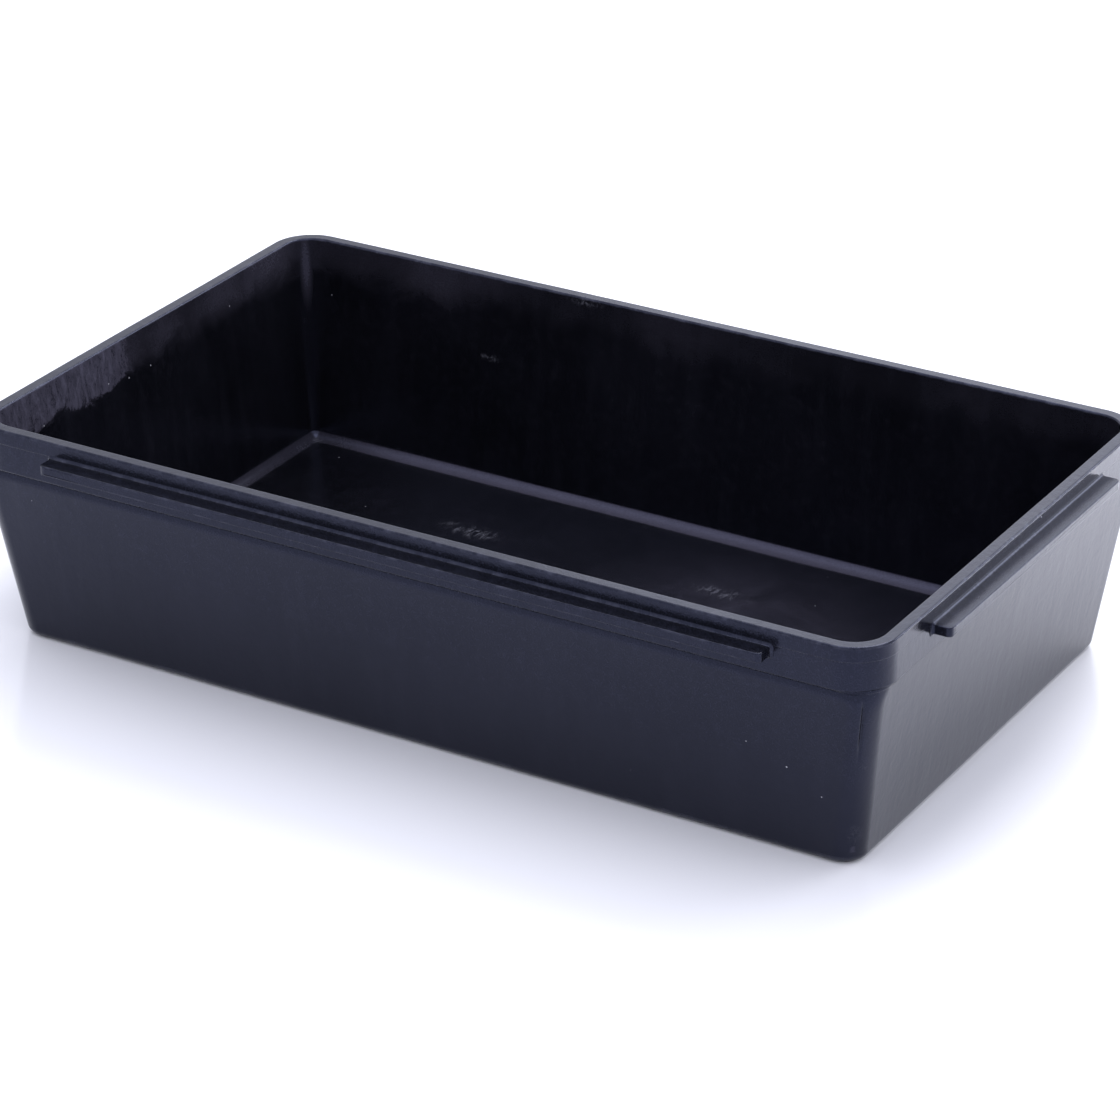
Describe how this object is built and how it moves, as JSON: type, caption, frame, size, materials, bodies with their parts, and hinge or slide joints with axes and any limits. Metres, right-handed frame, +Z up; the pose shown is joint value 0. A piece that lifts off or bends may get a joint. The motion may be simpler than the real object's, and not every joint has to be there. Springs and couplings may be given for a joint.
{
  "type": "mortar mixing tub",
  "caption": "Low rectangular open mixing tub in thick black rubber: drafted walls, rounded corners, a flat-topped rim collar and a narrow lifting ledge along each side.",
  "frame": {"origin": "on the ground under the centre of the footprint", "axes": "+X along the length, +Y across the width towards the back, +Z up out of the open top"},
  "size_m": [0.748, 0.452, 0.171],
  "materials": {
    "tub_rubber": "satin moulded black rubber, scuffed and a little dusty"
  },
  "bodies": {
    "root": {"floor": "tub_rubber", "wall_front": "tub_rubber", "wall_back": "tub_rubber", "wall_left": "tub_rubber", "wall_right": "tub_rubber", "corner_front_left": "tub_rubber", "corner_front_right": "tub_rubber", "corner_back_left": "tub_rubber", "corner_back_right": "tub_rubber", "ledge_front": "tub_rubber", "ledge_back": "tub_rubber", "ledge_left": "tub_rubber", "ledge_right": "tub_rubber"}
  },
  "joints": []
}
